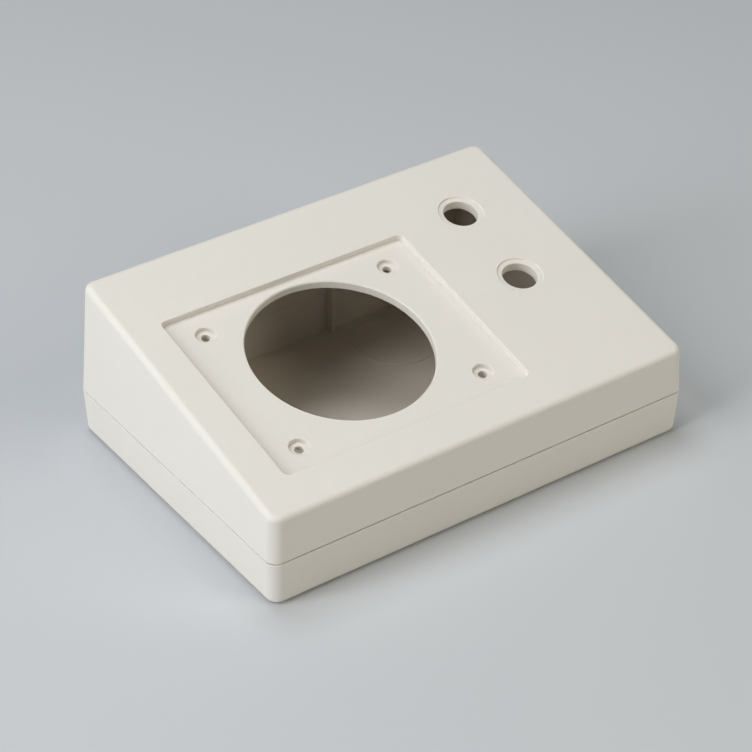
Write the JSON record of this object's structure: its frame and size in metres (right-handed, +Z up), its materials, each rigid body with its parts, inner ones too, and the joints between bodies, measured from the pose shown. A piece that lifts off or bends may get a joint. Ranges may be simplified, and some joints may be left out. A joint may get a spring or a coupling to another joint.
{
  "type": "sloping desk instrument housing",
  "caption": "Empty two-shell moulded housing with a sloping top, a recessed panel with a round opening and screw holes, and push-button holes at its right.",
  "frame": {"origin": "under the middle of the housing, on the surface that its feet stand on", "axes": "+X to the right seen from the low front, +Y to the high back, +Z up"},
  "size_m": [0.2234, 0.1574, 0.0791],
  "materials": {
    "shell": "fine spark-eroded texture, warm off-white",
    "screw": "bright zinc plate",
    "foot": "matt moulded rubber"
  },
  "bodies": {
    "root": {"upper_shell": "shell", "lower_shell": "shell", "case_screw_front_left": "screw", "case_screw_front_right": "screw", "case_screw_back_left": "screw", "case_screw_back_right": "screw", "foot_front_left": "foot", "foot_front_right": "foot", "foot_back_left": "foot", "foot_back_right": "foot"}
  },
  "joints": []
}
